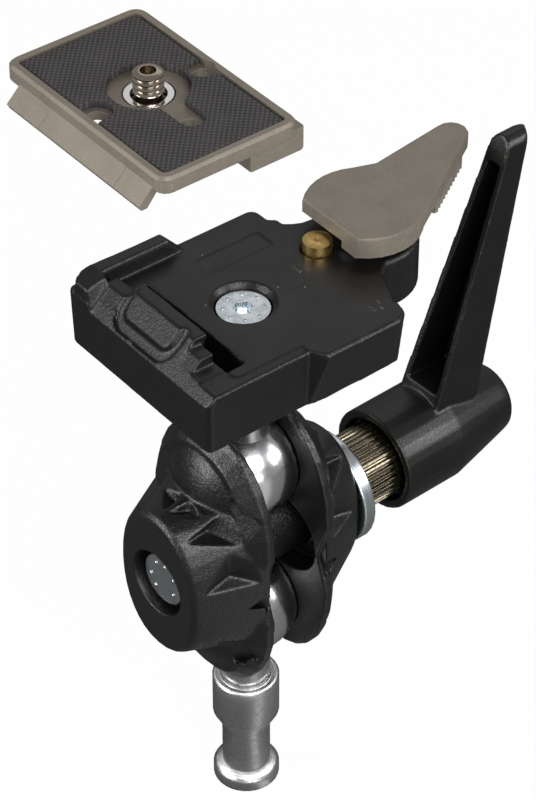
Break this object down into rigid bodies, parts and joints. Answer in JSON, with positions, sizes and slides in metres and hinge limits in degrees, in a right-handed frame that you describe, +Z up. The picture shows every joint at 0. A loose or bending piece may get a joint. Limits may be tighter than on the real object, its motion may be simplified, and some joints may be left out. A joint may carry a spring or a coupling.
{
  "type": "tripod ball head",
  "caption": "Double ball-joint head on a light-stand stud, with a one-bolt lever clamp and a quick-release camera platform.",
  "frame": {"origin": "centre of the stud's flat bottom face", "axes": "+Z up along the stud and both balls at rest, +X along the clamp bolt towards the lever handle, +Y away from the open end of the plate's keyhole"},
  "size_m": [0.1276, 0.0572, 0.2138],
  "materials": {
    "satin_steel": "turned, satin",
    "chrome": "polished",
    "black_casting": "die-cast alloy under fine black wrinkle paint, satin",
    "black_nylon": "satin",
    "bright_zinc": "bright zinc plating",
    "oiled_steel": "oiled, splined",
    "bronze_grey": "die-cast alloy under satin bronze-grey powder coat",
    "brass": "turned",
    "woven_pad": "fine woven relief",
    "spring_steel": "bright wire"
  },
  "bodies": {
    "spigot": {"spigot": "satin_steel"},
    "lower_ball": {"lower_ball": "chrome"},
    "clamp": {"front_shell": "black_casting", "clamp_bolt": "bright_zinc", "release_spring": "spring_steel"},
    "rear_clamp": {"rear_shell": "black_casting", "thrust_washer": "bright_zinc"},
    "nut": {"splined_nut": "oiled_steel", "handle_screw": "bright_zinc", "handle_spring": "spring_steel"},
    "handle": {"clamp_handle": "black_nylon"},
    "upper_ball": {"upper_ball": "chrome"},
    "platform": {"platform": "black_casting", "platform_screw": "bright_zinc", "lever_pivot": "bright_zinc", "lever_spring": "spring_steel", "pin_spring": "spring_steel"},
    "cam_lever": {"cam_lever": "bronze_grey"},
    "trigger_pin": {"trigger_pin": "brass", "pin_clip": "bright_zinc"},
    "plate": {"quick_plate": "bronze_grey", "plate_pad": "woven_pad", "screw_washer": "chrome"},
    "camera_screw": {"camera_screw": "chrome"}
  },
  "joints": [
    {"name": "pan_lower", "type": "hinge", "parent": "spigot", "child": "lower_ball", "pos_m": [0, 0, 0.0575], "axis": [0, 0, 1], "continuous": true},
    {"name": "swing_lower", "type": "hinge", "parent": "lower_ball", "child": "clamp", "pos_m": [0, 0, 0.0575], "axis": [-1, 0, 0], "range_deg": [-90, 90]},
    {"name": "clamp_gap", "type": "slide", "parent": "clamp", "child": "rear_clamp", "axis": [1, 0, 0], "range_m": [0, 0.00059]},
    {"name": "nut_spin", "type": "hinge", "parent": "rear_clamp", "child": "nut", "pos_m": [0.0285, 0, 0.07825], "axis": [1, 0, 0], "range_deg": [0, 170]},
    {"name": "lever_pull", "type": "slide", "parent": "nut", "child": "handle", "axis": [1, 0, 0], "range_m": [0, 0.006], "stiffness_N_per_m": 400, "springref_m": -0.002, "deforming": ["handle_spring"]},
    {"name": "swing_upper", "type": "hinge", "parent": "clamp", "child": "upper_ball", "pos_m": [0, 0, 0.099], "axis": [1, 0, 0], "range_deg": [-100, 2]},
    {"name": "pan_upper", "type": "hinge", "parent": "upper_ball", "child": "platform", "pos_m": [0, 0, 0.099], "axis": [0, 0, 1], "range_deg": [0, 330]},
    {"name": "lever_turn", "type": "hinge", "parent": "platform", "child": "cam_lever", "pos_m": [0.0364, 0.00231, 0.1449], "axis": [0, 0, 1], "range_deg": [0, 80]},
    {"name": "pin_press", "type": "slide", "parent": "platform", "child": "trigger_pin", "axis": [0, 0, -1], "range_m": [0, 0.0024], "deforming": ["pin_spring"]},
    {"name": "plate_slide", "type": "slide", "parent": "platform", "child": "plate", "axis": [-0.4811, -0.0201, 0.8765], "range_m": [-0.06458, 0]},
    {"name": "camera_turn", "type": "hinge", "parent": "plate", "child": "camera_screw", "pos_m": [-0.02361, 0.00004, 0.2104], "axis": [0, 0, 1], "continuous": true}
  ],
  "couplings": [
    {"joint": "nut_spin", "follows": "clamp_gap", "rad_per_m": 5026.5},
    {"joint": "pin_press", "follows": "plate_slide", "ratio": -0.03716}
  ]
}
